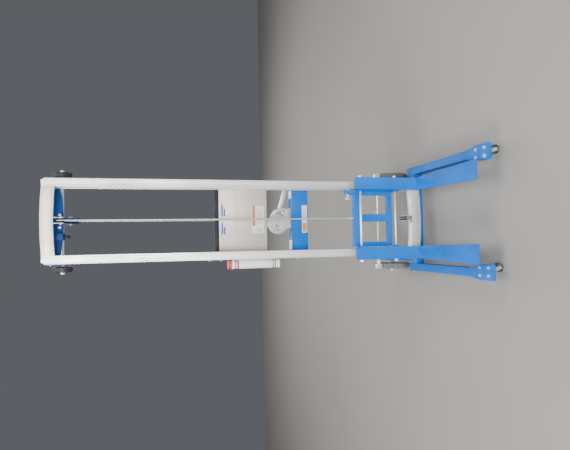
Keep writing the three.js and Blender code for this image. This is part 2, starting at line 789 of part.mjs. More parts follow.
// ---------------------------------------------------------------- document tube
const tubeProfile = [[0, 879], [TUBE_R - 1.5, 879], [TUBE_R, 883], [TUBE_R, 1131.7], [TUBE_R - 2, 1131.7]];
const tubeInside = [[TUBE_R - 2, 884], [0, 884], [0, 879]];
const tubeBody = turned("z", [...tubeProfile, ...tubeInside], [TUBE_X, TUBE_Y, 0], 20);
place("document_tube", tubeBody, "white");
const capBody = turned(
  "z",
  [[0, 1132], [CAP_R, 1132], [CAP_R, 1149], [CAP_R - 3, 1152], [0, 1152], [0, 1132]],
  [TUBE_X, TUBE_Y, 0],
  20,
);
place("document_tube_cap", capBody, "red");
let holder = box(-206.5, -200.8, TUBE_Y - 8, TUBE_Y + 8, 900, 1124);
for (const z of [904, 916, 1114]) {
  holder = holder.add(cut(
    join(
      rod("z", TUBE_R + 2.2, z - 2, z + 2, [TUBE_X, TUBE_Y], 20),
      box(-212, -204, TUBE_Y - 6, TUBE_Y + 6, z - 2, z + 2),
    ),
    rod("z", TUBE_R + GAP, z - 6, z + 6, [TUBE_X, TUBE_Y], 20),
  ));
}
place("document_tube_holder", holder, "zinc");

export default part;
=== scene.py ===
import json
import math
import bmesh
import bpy
import numpy as np
from mathutils import Matrix, Vector

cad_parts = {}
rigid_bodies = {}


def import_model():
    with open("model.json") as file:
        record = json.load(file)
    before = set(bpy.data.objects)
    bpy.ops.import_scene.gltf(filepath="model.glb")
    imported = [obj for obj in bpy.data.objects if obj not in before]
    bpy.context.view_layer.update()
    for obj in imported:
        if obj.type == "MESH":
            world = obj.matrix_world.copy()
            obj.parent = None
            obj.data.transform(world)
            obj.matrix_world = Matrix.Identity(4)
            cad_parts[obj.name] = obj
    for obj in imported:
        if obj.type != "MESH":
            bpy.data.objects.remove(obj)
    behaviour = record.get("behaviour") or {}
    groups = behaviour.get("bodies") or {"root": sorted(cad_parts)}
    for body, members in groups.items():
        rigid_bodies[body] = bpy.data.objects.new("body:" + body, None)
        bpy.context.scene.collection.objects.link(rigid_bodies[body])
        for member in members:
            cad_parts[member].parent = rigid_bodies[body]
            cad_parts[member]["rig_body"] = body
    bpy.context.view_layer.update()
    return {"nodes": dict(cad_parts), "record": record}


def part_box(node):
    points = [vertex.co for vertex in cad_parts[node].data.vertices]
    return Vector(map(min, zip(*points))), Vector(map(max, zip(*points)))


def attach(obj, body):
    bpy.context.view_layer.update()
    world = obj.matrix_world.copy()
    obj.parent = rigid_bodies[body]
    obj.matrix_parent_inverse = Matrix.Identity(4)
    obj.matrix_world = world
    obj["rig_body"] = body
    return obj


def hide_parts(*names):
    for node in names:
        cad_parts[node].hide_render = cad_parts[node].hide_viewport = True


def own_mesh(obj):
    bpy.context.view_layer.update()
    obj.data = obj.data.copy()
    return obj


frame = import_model()
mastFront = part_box("left_inner_column")[0].y  # the front face of the mast, in metres
print("frame loaded, mast front at", round(mastFront, 4))

# Camera, turned on its side: the lift lies across the frame.
viewer = {
    "place": (-0.1185, -2.407, 1.4702),  # from the mast front, on the floor
    "yaw": 0.0369,
    "pitch": -0.2471,
    "roll": -0.0103,
    "lens": 30.421895,  # millimetres, before a film 36 mm wide
    "film": 36,
}


def makeCamera(v):
    cy, sy, cp, sp = math.cos(v["yaw"]), math.sin(v["yaw"]), math.cos(v["pitch"]), math.sin(v["pitch"])
    forward = Vector((sy * cp, cy * cp, sp))
    right = Vector((cy, -sy, 0))
    up = right.cross(forward)
    cr, sr = math.cos(v["roll"]), math.sin(v["roll"])
    right, up = right * cr + up * sr, up * cr - right * sr
    data = bpy.data.cameras.new("viewer")
    data.sensor_fit = "HORIZONTAL"
    data.sensor_width, data.lens = v["film"], v["lens"]
    cam = bpy.data.objects.new("viewer", data)
    x, y, z = v["place"]
    turn = Matrix((-up, right, -forward)).transposed().to_4x4()
    cam.matrix_world = Matrix.Translation((x, y + mastFront, z)) @ turn
    bpy.context.scene.collection.objects.link(cam)
    bpy.context.scene.camera = cam


makeCamera(viewer)


# Shader maths is written as expressions.
# A socket that adds Math nodes when it is used in arithmetic.
class Value:
    def __init__(self, look, socket):
        self.look, self.socket = look, socket

    def do(self, operation, a, b):
        node = self.look.node("ShaderNodeMath", {"operation": operation}, {0: a, 1: b})
        return Value(self.look, node.outputs[0])

    def __add__(self, other):
        return self.do("ADD", self, other)

    def __radd__(self, other):
        return self.do("ADD", other, self)

    def __sub__(self, other):
        return self.do("SUBTRACT", self, other)

    def __rsub__(self, other):
        return self.do("SUBTRACT", other, self)

    def __mul__(self, other):
        return self.do("MULTIPLY", self, other)

    def __rmul__(self, other):
        return self.do("MULTIPLY", other, self)

    def __gt__(self, other):
        return self.do("GREATER_THAN", self, other)

    def __lt__(self, other):
        return self.do("LESS_THAN", self, other)


# One material: a Principled shader and the nodes that feed it.
class Look:
    def __init__(self, name, **fixed):
        self.material = bpy.data.materials.new(name)
        self.material.use_nodes = True
        self.tree = self.material.node_tree
        self.shader = next(n for n in self.tree.nodes if n.type == "BSDF_PRINCIPLED")
        for key, value in fixed.items():
            self.set(key, value)
        self.place = Value(self, self.node("ShaderNodeTexCoord", {}, {}).outputs["Object"])
        parts = self.node("ShaderNodeSeparateXYZ", {}, {0: self.place})
        self.x, self.y, self.z = (Value(self, s) for s in parts.outputs)

    def node(self, kind, settings, values):
        n = self.tree.nodes.new(kind)
        for key, value in settings.items():
            if key == "stops":
                while len(n.color_ramp.elements) < len(value):
                    n.color_ramp.elements.new(0.5)
                for element, (at, colour) in zip(n.color_ramp.elements, value):
                    element.position, element.color = at, colour
            else:
                setattr(n, key, value)
        for key, value in values.items():
            if isinstance(value, Value):
                self.tree.links.new(value.socket, n.inputs[key])
            else:
                n.inputs[key].default_value = value
        return n

    def set(self, key, value):
        socket = self.shader.inputs[key.replace("_", " ")]
        if isinstance(value, Value):
            self.tree.links.new(value.socket, socket)
        else:
            socket.default_value = (*value, 1) if isinstance(value, tuple) and len(value) == 3 else value

    # Object coordinates times a scale on each axis.
    def stretched(self, scale):
        n = self.node("ShaderNodeVectorMath", {"operation": "MULTIPLY"}, {0: self.place, 1: scale})
        return Value(self, n.outputs[0])

    def noise(self, scale=(1, 1, 1), detail=3.0, roughness=0.5):
        values = {"Vector": self.stretched(scale), "Scale": 1.0, "Detail": detail, "Roughness": roughness}
        return Value(self, self.node("ShaderNodeTexNoise", {}, values).outputs[0])

    # value carried from low..high to start..end, held at both ends.
    def band(self, value, low, high, start=0.0, end=1.0):
        n = self.node("ShaderNodeMapRange", {"clamp": True}, {0: value, 1: low, 2: high, 3: start, 4: end})
        return Value(self, n.outputs[0])

    # first where mask is 0, second where it is 1.
    def mix(self, mask, first, second):
        values = {0: mask}
        for index, colour in ((6, first), (7, second)):
            values[index] = (*colour, 1) if isinstance(colour, tuple) else colour
        n = self.node("ShaderNodeMix", {"data_type": "RGBA"}, values)
        return Value(self, n.outputs[2])

    def bump(self, height, strength, distance):
        n = self.node("ShaderNodeBump", {}, {"Strength": strength, "Distance": distance, "Height": height})
        self.set("Normal", Value(self, n.outputs[0]))


# 1 where value lies between low and high.
def inside(value, low, high):
    return (value > low) * (value < high)


paints = {
    "blue": {"colour": (0.0, 0.158, 0.600), "shade": (0.0, 0.134, 0.530), "rough": 0.46},
    # The next paint is the blue darkened: painted shade for blue parts that sit in shadow behind the top
    # crossbar.
    "deepBlue": {"colour": (0.004, 0.060, 0.26), "shade": (0.003, 0.035, 0.16), "rough": 0.42},
    # The next paint is near-black; on the cover tie it is painted shade for the dark strip above the
    # plate.
    "slate": {"colour": (0.022, 0.026, 0.034), "shade": (0.014, 0.016, 0.022), "rough": 0.5},
}


# Powder coat: fine orange-peel bump, slow colour drift, a few fine scratches and floor dust low down.
def paintLook(name, p):
    look = Look(name, IOR=1.45, Specular_IOR_Level=0.14, Coat_Roughness=0.3)
    drift = look.band(look.noise((9, 9, 9), 4), 0.35, 0.68)
    dust = look.band(look.z, 0.02, 0.2, 0.12, 0.0) * look.band(look.noise((38, 38, 38), 5), 0.48, 0.72)
    scratch = look.band(look.noise((260, 22, 30), 2), 0.735, 0.76)
    colour = look.mix(drift, p["colour"], p["shade"])
    colour = look.mix(dust, colour, (0.42, 0.38, 0.33))
    look.set("Base Color", look.mix(scratch * 0.3, colour, (0.30, 0.42, 0.62)))
    peel = look.noise((520, 520, 520), 2)
    look.set("Roughness", p["rough"] + drift * 0.08 + dust * 0.9 + scratch * 0.2)
    look.set("Coat Weight", 0.03)
    look.bump(peel + scratch * -0.6, 0.10, 0.0006)
    return look.material


# Two colours on one piece, at least one of them painted shade: p where choose gives 0, q where it gives 1.
def shadedTwoTone(name, choose, p, q):
    look = Look(name, IOR=1.45, Specular_IOR_Level=0.22)
    second = choose(look)
    drift = look.band(look.noise((9, 9, 9), 4), 0.35, 0.68)
    coats = [look.mix(drift, coat["colour"], coat["shade"]) for coat in (p, q)]
    look.set("Base Color", look.mix(second, *coats))
    look.set("Roughness", p["rough"] + drift * 0.1)
    look.bump(look.noise((520, 520, 520), 2), 0.10, 0.0006)
    return look.material


metals = {
    "mast": {
        "colour": (0.95, 0.95, 0.935), "dark": (0.50, 0.50, 0.485), "rough": 0.34, "metal": 0.6,
        "grain": (620, 620, 2.2), "streak": 0.45, "bump": 0.05,
    },
    "sheetMetal": {
        "colour": (0.66, 0.595, 0.545), "dark": (0.53, 0.475, 0.435), "rough": 0.42, "metal": 0.35,
        "grain": (5, 60, 420), "bump": 0.12,
    },
    "bar": {
        "colour": (0.88, 0.85, 0.81), "dark": (0.52, 0.50, 0.47), "rough": 0.38, "metal": 0.45,
        "grain": (3, 380, 520), "bump": 0.1,
    },
    "zinc": {
        "colour": (0.66, 0.70, 0.68), "dark": (0.26, 0.285, 0.275), "rough": 0.36, "metal": 0.7,
        "grain": (70, 70, 70), "bump": 0.14,
    },
    "steel": {
        "colour": (0.95, 0.95, 0.93), "dark": (0.76, 0.76, 0.75), "rough": 0.25, "metal": 0.6,
        "grain": (6, 300, 300), "bump": 0.1,
    },
    "rope": {
        "colour": (0.74, 0.74, 0.72), "dark": (0.34, 0.34, 0.33), "rough": 0.4, "metal": 0.5,
        "grain": (300, 300, 300), "bump": 0.14,
    },
}


# Bare metal: drawn or rolled grain in one direction, cloudy stains, small rub marks.
def metalLook(name, p):
    look = Look(name, Metallic=p["metal"])
    grain = look.noise(p["grain"], 3, 0.6)
    cloud = look.band(look.noise((14, 14, 5), 4), 0.36, 0.7)
    rub = look.band(look.noise((90, 90, 26), 4, 0.65), 0.66, 0.74)
    streak = look.band(look.noise(tuple(0.22 * g for g in p["grain"]), 2, 0.7), 0.42, 0.68)
    shade = cloud * 0.4 + look.band(grain, 0.3, 0.7) * 0.3 + streak * p.get("streak", 0.3)
    look.set("Base Color", look.mix(shade, p["colour"], p["dark"]))
    look.set("Roughness", p["rough"] + grain * 0.14 - 0.07 + cloud * 0.08 + rub * 0.1 + streak * 0.08)
    look.bump(grain + rub * -0.5, p["bump"], 0.0004)
    return look.material


plastics = {
    "black": {"colour": (0.018, 0.019, 0.021), "worn": (0.05, 0.05, 0.053), "rough": 0.52, "grain": 650},
    "tyre": {"colour": (0.15, 0.16, 0.165), "worn": (0.25, 0.25, 0.245), "rough": 0.78, "grain": 420},
    "hub": {"colour": (0.34, 0.36, 0.36), "worn": (0.46, 0.47, 0.46), "rough": 0.5, "grain": 500},
    "white": {"colour": (0.90, 0.90, 0.89), "worn": (0.80, 0.80, 0.78), "rough": 0.36, "grain": 300},
    "red": {"colour": (0.56, 0.028, 0.03), "worn": (0.66, 0.14, 0.12), "rough": 0.4, "grain": 400},
}


# Moulded plastic or rubber: pebbled skin, scuffs and a little dust towards the floor.
def plasticLook(name, p):
    look = Look(name, IOR=1.47)
    skin = look.noise((p["grain"],) * 3, 2)
    scuff = look.band(look.noise((34, 34, 34), 6, 0.7), 0.5, 0.72)
    dust = look.band(look.z, 0.0, 0.22, 0.3, 0.0) * look.band(look.noise((60, 60, 60), 4), 0.4, 0.65)
    look.set("Base Color", look.mix(dust, look.mix(scuff, p["colour"], p["worn"]), (0.36, 0.33, 0.29)))
    look.set("Roughness", p["rough"] + scuff * 0.12 + dust * 0.3)
    look.bump(skin, 0.15, 0.0004)
    return look.material


looks = {name: paintLook(name + "Paint", p) for name, p in paints.items()}
looks.update({name: metalLook(name + "Metal", p) for name, p in metals.items()})
shadeEdges = {"tieWing": 0.199, "latchBox": (1.93, 1.972)}  # |x| of the wings; heights of the guide box


def onWings(look):
    return look.x * look.x > shadeEdges["tieWing"] ** 2


def onLatchBox(look):
    return inside(look.z, *shadeEdges["latchBox"])


# The cover tie's middle is near-black, painted shade for the dark strip above the plate; its wings are
# blue.
looks["tie"] = shadedTwoTone("tiePaint", onWings, paints["slate"], paints["blue"])
# The latch is near-black, with its guide box in the darkened blue, painted shade of the blue paint.
looks["latch"] = shadedTwoTone("latchPaint", onLatchBox, paints["slate"], paints["deepBlue"])
looks.update({name: plasticLook(name + "Plastic", p) for name, p in plastics.items()})
print("materials:", len(looks))


# Shapes are drawn in millimetres from the mast front, on the floor.
def finishPiece(name, mesh, look, body, stands, bevel, sharp):
    bm = bmesh.new()
    bm.from_mesh(mesh)
    bmesh.ops.remove_doubles(bm, verts=bm.verts, dist=1e-6)
    bmesh.ops.recalc_face_normals(bm, faces=bm.faces)
    bm.to_mesh(mesh)
    bm.free()
    return dressPiece(name, mesh, look, body, stands, bevel, sharp)


def dressPiece(name, mesh, look, body, stands, bevel, sharp):
    mesh.materials.clear()
    mesh.materials.append(looks[look])
    mesh.polygons.foreach_set("use_smooth", np.ones(len(mesh.polygons), bool))
    piece = bpy.data.objects.new(name, mesh)
    bpy.context.scene.collection.objects.link(piece)
    if bevel:
        m = piece.modifiers.new("edges", "BEVEL")
        m.width, m.segments, m.limit_method, m.angle_limit = bevel * 0.001, 2, "ANGLE", math.radians(38)
        m.harden_normals = True
    else:
        mesh.set_sharp_from_angle(angle=math.radians(sharp))
    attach(piece, body)
    if stands:
        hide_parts(*stands)
    return piece


def placed(points):
    out = np.asarray(points, float).reshape(-1, 3) * 0.001
    out[:, 1] += mastFront
    return out


# Quads of a rows x cols grid of points, joined round where it wraps.
def sheetFaces(rows, cols, wrapRows, wrapCols):
    r = np.arange(rows if wrapRows else rows - 1)[:, None]
    c = np.arange(cols if wrapCols else cols - 1)[None, :]
    r2, c2 = (r + 1) % rows, (c + 1) % cols
    quads = np.stack([r * cols + c, r * cols + c2, r2 * cols + c2, r2 * cols + c], -1)
    return quads.reshape(-1, 4)


axisOrder = {"x": (1, 2, 0), "y": (0, 2, 1), "z": (0, 1, 2)}  # where the section's u, v and the run go


def onAxis(u, v, along, axis):
    out = np.empty(np.broadcast(u, v, along).shape + (3,))
    for place, value in zip(axisOrder[axis], (u, v, along)):
        out[..., place] = value
    return out


# Profile of (radius, along) carried round an axis: point = centre + r cos t, r sin t, along.
def turned(name, profile, centre, axis, look, body, stands=(), sides=48, ripple=None, sharp=32):
    profile = np.array(profile, float)
    loop = np.allclose(profile[0], profile[-1])
    if loop:
        profile = profile[:-1]
    t = np.linspace(0, 2 * np.pi, sides, endpoint=False)[:, None]
    r, a = profile[None, :, 0], profile[None, :, 1]
    if ripple is not None:
        r = r * ripple(t, r, a)
    points = onAxis(r * np.cos(t), r * np.sin(t), a + 0 * t, axis)
    points = points + np.array(centre, float)
    faces = sheetFaces(sides, profile.shape[0], True, loop)
    mesh = bpy.data.meshes.new(name)
    mesh.from_pydata(placed(points).tolist(), [], faces.tolist())
    return finishPiece(name, mesh, look, body, stands, 0, sharp)


# A flat outline of (u, v) pushed along an axis from low to high and closed at both ends.
def pushed(name, outline, axis, low, high, look, body, stands=(), bevel=0, sharp=32):
    outline = np.array(outline, float)
    count = len(outline)
    ends = np.array([low, high], float)[:, None]
    points = onAxis(outline[None, :, 0], outline[None, :, 1], ends, axis)
    faces = sheetFaces(2, count, False, True).tolist()
    faces += [list(range(count))[::-1], list(range(count, 2 * count))]
    mesh = bpy.data.meshes.new(name)
    mesh.from_pydata(placed(points).tolist(), [], faces)
    return finishPiece(name, mesh, look, body, stands, bevel, sharp)


# Laid wire rope along a path: at distance s and angle t the radius is
# R (1 - valley |sin (strands / 2) (t - 2 pi s / lay)|).
def ropeRun(name, path, p, body, stands, reference=(1, 0, 0)):
    lay, around = p["lay"], p["around"]
    path = np.array(path, float)
    step = np.linalg.norm(np.diff(path, axis=0), axis=1)
    s = np.concatenate([[0], np.cumsum(step)])
    count = int(s[-1] / (lay / 9)) + 2
    at = np.linspace(0, s[-1], count)
    line = np.stack([np.interp(at, s, path[:, k]) for k in range(3)], 1)
    ahead = np.gradient(line, axis=0)
    ahead /= np.linalg.norm(ahead, axis=1, keepdims=True)
    side = np.tile(np.array(reference, float), (count, 1))
    side -= ahead * (side * ahead).sum(1, keepdims=True)
    side /= np.linalg.norm(side, axis=1, keepdims=True)
    across = np.cross(ahead, side)
    t = np.linspace(0, 2 * np.pi, around, endpoint=False)[None, :]
    wave = np.abs(np.sin(p["strands"] / 2 * (t - 2 * np.pi * at[:, None] / lay)))
    r = p["radius"] * (1 - p["valley"] * wave)
    u, v = (r * np.cos(t))[..., None], (r * np.sin(t))[..., None]
    points = line[:, None] + side[:, None] * u + across[:, None] * v
    faces = sheetFaces(count, around, False, True).tolist()
    faces += [list(range(around))[::-1], list(range((count - 1) * around, count * around))]
    mesh = bpy.data.meshes.new(name)
    mesh.from_pydata(placed(points).tolist(), [], faces)
    return finishPiece(name, mesh, "rope", body, stands, 0, 80)


# The CAD node's own shape, its triangles joined into whole faces, with softened edges.
def refined(node, look, bevel=0.8):
    source = frame["nodes"][node]
    mesh = source.data.copy()
    bm = bmesh.new()
    bm.from_mesh(mesh)
    bmesh.ops.remove_doubles(bm, verts=bm.verts, dist=2e-6)
    bmesh.ops.dissolve_limit(bm, angle_limit=math.radians(0.6), verts=bm.verts, edges=bm.edges)
    bm.to_mesh(mesh)
    bm.free()
    mesh.name = node + "_fine"
    body = source["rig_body"]
    slotName = next(s["material_slot"] for s in frame["record"]["subparts"] if s["node"] == node)
    return dressPiece(node + "_fine", mesh, look, body, (node,), bevel, 32)


# A node's box in millimetres from the mast front: lowest corner, highest corner and middle.
def extent(node):
    low, high = (np.array(v) * 1000 - (0, mastFront * 1000, 0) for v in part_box(node))
    return low, high, (low + high) / 2


leftRight = (("left", -1), ("right", 1))

# Mast columns: drawn profile with soft corners and fine drawn lines on its front.
column = {
    "outer": 200.5,
    "inner": 161.0,
    "wall": 4.0,
    "corner": 2.2,
    "grooves": (7.5, 32.0),  # from the inner edge; each is twice "wide" across and "deep" deep
    "wide": 1.5,
    "deep": 1.5,
    "topCut": (10.5, 15.0),  # across and down from the outer top corner
}


# Quarter round at the corner (x, y): the centre lies r inside, towards (towardX, towardY).
def softCorner(x, y, towardX, towardY, r, steps=4):
    t = np.linspace(0, np.pi / 2, steps)
    cx, cy = x + towardX * r, y + towardY * r
    return np.stack([cx - towardX * r * np.cos(t), cy - towardY * r * np.sin(t)], 1)


# Section of a column in (x, y): a channel open inwards, with a tongue or a slot that couples the two.
def columnOutline(c, kind):
    o, i, w, r = c["outer"], c["inner"], c["wall"], c["corner"]
    m = (o + i) / 2
    if kind == "inner":
        face = [[i, 0.6], [i + 0.6, 0]]
        for g in c["grooves"]:
            face += [[i + g - c["wide"], 0], [i + g, c["deep"]], [i + g + c["wide"], 0]]
        tongue = [
            [m + 4, 48], [m + 4, 53], [m + 9, 53], [m + 9, 57], [m - 9, 57], [m - 9, 53], [m - 4, 53],
            [m - 4, 48],
        ]
        channel = [[i, 48], [i, 43], [o - w, 43], [o - w, 5], [i, 5]]
        heel, toe = softCorner(o, 0, -1, 1, r)[::-1], softCorner(o, 48, -1, -1, r)
        return np.vstack([face, heel, toe, tongue, channel])
    slot = [
        [i, 49], [m - 5, 49], [m - 5, 52.2], [m - 10, 52.2], [m - 10, 58], [m + 10, 58], [m + 10, 52.2],
        [m + 5, 52.2], [m + 5, 49],
    ]
    channel = [[i, 100], [i, 96], [o - w, 96], [o - w, 62], [i, 62]]
    return np.vstack([slot, softCorner(o, 49, -1, 1, r)[::-1], softCorner(o, 100, -1, -1, r), channel])


# Takes the outer top corner off a column with one slanted plane and closes the cut.
def cutTopCorner(piece, sign, top, c):
    across, down = c["topCut"]
    bm = bmesh.new()
    bm.from_mesh(piece.data)
    place = placed([(sign * (c["outer"] - across), 0, top)])[0]
    parts = bm.verts[:] + bm.edges[:] + bm.faces[:]
    away = (sign * down, 0, across)
    cut = bmesh.ops.bisect_plane(bm, geom=parts, plane_co=place, plane_no=away, clear_outer=True)
    bmesh.ops.contextual_create(bm, geom=[e for e in cut["geom_cut"] if isinstance(e, bmesh.types.BMEdge)])
    bm.to_mesh(piece.data)
    bm.free()
    piece.data.set_sharp_from_angle(angle=math.radians(24))


def makeColumns(c):
    for side, sign in leftRight:
        for kind, body in (("inner", "moving_mast"), ("outer", "base")):
            node = f"{side}_{kind}_column"
            low, high, _ = extent(node)
            outline = columnOutline(c, kind) * (sign, 1)
            piece = pushed(node + "_fine", outline, "z", low[2], high[2], "mast", body, (node,), sharp=24)
            if kind == "inner":
                cutTopCorner(piece, sign, high[2], c)


makeColumns(column)
print("columns made")

# Pieces that keep their own shape, with softened edges.
kept = {
    "blue": (
        "base_cross_tube", "left_axle_plate", "right_axle_plate", "left_leg", "right_leg",
        "left_load_bracket", "right_load_bracket", "winch_beam", "carriage_frame", "left_fork",
        "right_fork",
    ),
    # The head tie is painted in the darkened blue: painted shade for a blue part in shadow behind the top
    # crossbar.
    "deepBlue": ("head_tie",),
    "latch": ("mast_latch",),
    "tie": ("cover_tie",),
    "bar": ("top_crossbar", "bottom_crossbar"),
    "sheetMetal": ("cover_plate",),
    "zinc": ("winch_frame", "left_caster_fork", "right_caster_fork", "winch_drum"),
    "steel": ("crank_arm", "brake_bar", "lock_pin", "winch_pinion_shaft"),
    "white": ("left_brake_pad", "right_brake_pad"),
}
edgeSoftness = {"sheetMetal": 0.3, "bar": 1.2, "blue": 1.0}
for look, names in kept.items():
    for name in names:
        refined(name, look, edgeSoftness.get(look, 0.7))
print("plain pieces refined")


# A hexagon of corner radius r about (u, v).
def hexPoints(u, v, r, spin=0.0):
    t = np.arange(6) * np.pi / 3 + spin
    return np.stack([u + r * np.cos(t), v + r * np.sin(t)], 1)


# Hexagon head with a washer under it, standing out from a face along one axis; way is +1 or -1.
def bolt(name, place, axis, way, r, high, body):
    u, v, run = (place[k] for k in axisOrder[axis])
    ends = sorted((run + way * 1.2, run + way * high))
    pushed(name, hexPoints(u, v, r, 0.3), axis, *ends, "zinc", body, bevel=0.5)
    rim = [[0, 0], [r + 1.6, 0], [r + 1.6, 0.9], [r + 1.1, 1.3], [0, 1.3]]
    turned(name + "_washer", [[a, way * b] for a, b in rim], place, axis, "zinc", body, sides=24)


# Solid of revolution with a hole: outer radius, hole, from low to high, edges broken by 0.4.
def ring(name, r, hole, low, high, centre, axis, look, body, sides=32, stands=()):
    profile = [
        [hole, low], [r - 0.4, low], [r, low + 0.4], [r, high - 0.4], [r - 0.4, high], [hole, high],
        [hole, low],
    ]
    return turned(name, profile, centre, axis, look, body, stands, sides=sides)


# Rear wheels: ribbed tread on a rounded tyre, a dished hub with five ribs.
rearWheel = {"rim": 69.5, "radius": 101.9, "half": 17.0, "ribs": 3, "spokes": 5}


# Tyre section as (radius, along): crown with ribs and grooves, rounded shoulders, bulged walls
# with a bead line.
def tyreProfile(w):
    crown = np.linspace(-11, 11, 4 * w["ribs"] + 2)
    groove = np.where(np.arange(len(crown)) % 4 // 2 == 1, 1.8, 0.0)
    tread = np.stack([w["radius"] - groove - 1.6 * (crown / 11) ** 4, crown], 1)
    wall = [
        [98.6, 13.2], [95, 15.6], [88, 16.8], [82, 16.2], [80.5, 15.4], [79, 16], [74, 15.4],
        [w["rim"] + 0.3, 14],
    ]
    return [[r, -a] for r, a in wall[::-1]] + tread.tolist() + wall + [[w["rim"] + 0.3, -14]]


# Hub section as (radius, along), s is the outer side.
def hubProfile(s):
    face = [
        [8.3, 21.8], [15, 21.8], [17, 20.5], [19, 10], [24, 7.5], [52, 6], [58, 8], [61, 13], [63, 14],
        [69, 14],
    ]
    back = [
        [69, -14], [63, -14], [61, -13], [58, -8], [52, -6], [24, -7.5], [19, -10], [18, -20.5],
        [16, -21.8],
    ]
    return [[r, s * a] for r, a in face + back + [[8.3, -21.8], face[0]]]


def makeRearWheel(side, sign, w):
    centre = extent(side + "_rear_tyre")[2]
    body = side + "_rear_wheel"
    turned(side + "_tyre", tyreProfile(w), centre, "x", "tyre", body, (side + "_rear_tyre",), sides=96)
    turned(side + "_hub", hubProfile(sign), centre, "x", "hub", body, (side + "_rear_hub",), sides=64)
    for k in range(w["spokes"]):
        t = 2 * math.pi * k / w["spokes"] + 0.3
        along, across = np.array([math.cos(t), math.sin(t)]), np.array([-math.sin(t), math.cos(t)])
        reach = ((18, 4.5), (60, 3), (60, -3), (18, -4.5))
        corners = [along * far + across * wide for far, wide in reach]
        outline = [centre[1:] + c for c in corners]
        low, high = centre[0] - 11, centre[0] + 11
        pushed(f"{side}_hub_rib_{k}", outline, "x", low, high, "hub", body, bevel=0.8)


# Round bars with broken ends: radius and the node that each stands for.
rods = {"rear_axle": 8.0, "load_wheel_rod": 7.0, "upper_fork_rod": 6.5, "lower_fork_rod": 5.0}
rodEnds = {"forkNut": (220.8, 228.4), "forkWasher": (218.4, 220.5), "loadNut": (246, 253), "chamfer": 1.2}


def makeRods(sizes, p):
    for name, r in sizes.items():
        low, high, (_, y, z) = extent(name)
        body = "carriage" if "fork" in name else "base"
        c, x0, x1 = p["chamfer"], low[0], high[0]
        profile = [[0, x0], [r - c, x0], [r, x0 + c], [r, x1 - c], [r - c, x1], [0, x1]]
        turned(name + "_bar", profile, (0, y, z), "x", "steel", body, (name,), sides=32, sharp=50)
        for side, sign in leftRight:
            if body == "carriage":
                ends = sorted(sign * x for x in p["forkNut"])
                nut = hexPoints(y, z, r + 4, 0.26)
                pushed(f"{side}_{name}_nut", nut, "x", *ends, "steel", body, bevel=0.6)
                faces = sorted(sign * x for x in p["forkWasher"])
                ring(f"{side}_{name}_washer", r + 5.6, r + 0.1, *faces, (0, y, z), "x", "steel", body)
            elif name == "load_wheel_rod":
                ends = sorted(sign * x for x in p["loadNut"])
                pushed(f"{side}_load_nut", hexPoints(y, z, 11), "x", *ends, "steel", body, bevel=0.6)
            else:
                cap = [[0, 304.6], [6, 304.6], [10.5, 302.5], [12, 299.5], [12, 296.6], [0, 296.6]]
                cap = [[a, sign * b] for a, b in cap]
                turned(f"{side}_axle_cap", cap, (0, y, z), "x", "steel", body, sides=32)


loadWheel = [
    [7.3, -13.6], [15, -13.6], [16.5, -12], [17, -8.5], [32, -7.5], [34, -12.5], [39, -13.8], [44, -11],
    [45, -7],
]
casterWheel = [
    [4.3, -11.8], [8, -11.8], [9, -10.6], [15, -9.2], [16.5, -11.6], [19, -11.8], [20.8, -9.4], [21, -7],
]


# A section given for one side is mirrored to the other and closed.
def bothSides(half):
    return half + [[r, -a] for r, a in half[::-1]] + [half[0]]


def makeSmallWheels():
    for side, _ in leftRight:
        name, node = side + "_loading_wheel", side + "_load_wheel"
        turned(name, bothSides(loadWheel), extent(node)[2], "x", "black", name, (node,), sides=64)
        centre = extent(side + "_caster_wheel")[2]
        body = side + "_caster_roller"
        tyre, node = bothSides(casterWheel), side + "_caster_wheel"
        turned(side + "_caster_tyre", tyre, centre, "y", "black", body, (node,), sides=56)
        for way in (-1, 1):
            disc = [[4.3, 9.4], [13.5, 9.4], [14.5, 8.6], [4.3, 8.2], [4.3, 9.4]]
            disc = [[r, way * a] for r, a in disc]
            turned(f"{side}_caster_disc_{way + 1}", disc, centre, "y", "zinc", body, sides=32)
            place = (centre[0], centre[1] + way * 15.4, centre[2])
            bolt(f"{side}_caster_bolt_{way + 1}", place, "y", way, 5.5, 4.4, side + "_caster")


for side, sign in leftRight:
    makeRearWheel(side, sign, rearWheel)
makeRods(rods, rodEnds)
makeSmallWheels()
print("wheels, rods and nuts made")

# Sheaves and guide rollers: the rope's pitch radius and half the width.
sheaves = {"crown": (18.0, 9.0, 56), "head": (36.0, 8.0, 84), "foot": (18.0, 9.0, 56)}


# Sheave section as (radius, along): hub, web, and a rim with a round rope groove.
def sheaveProfile(pitch, half):
    t = np.linspace(-1.15, 1.15, 9)
    groove = np.stack([pitch + 0.6 - 3.3 * np.cos(t), 3.3 * np.sin(t)], 1)
    left = [
        [5.3, -half], [9, -half], [9.8, -half + 2], [pitch - 5.6, -half + 2.2], [pitch - 3, -half + 0.1],
        [pitch + 3.2, -half + 0.1], [pitch + 3.9, -half + 1.2],
    ]
    return left + groove.tolist() + [[r, -a] for r, a in left[::-1]] + [left[0]]


for name, (pitch, half, count) in sheaves.items():
    node = name + "_sheave"
    section, body = sheaveProfile(pitch, half), name + "_pulley"
    turned(name + "_wheel", section, extent(node)[2], "x", "black", body, (node,), sides=count)
for side, _ in leftRight:
    for level, body in (("upper", "_top_guide"), ("lower", "_low_guide")):
        node = f"{side}_{level}_roller"
        name, centre = f"{side}_{level}_wheel", extent(node)[2]
        ring(name, 18.4, 6.3, -10.9, 10.9, centre, "x", "black", side + body, 40, (node,))

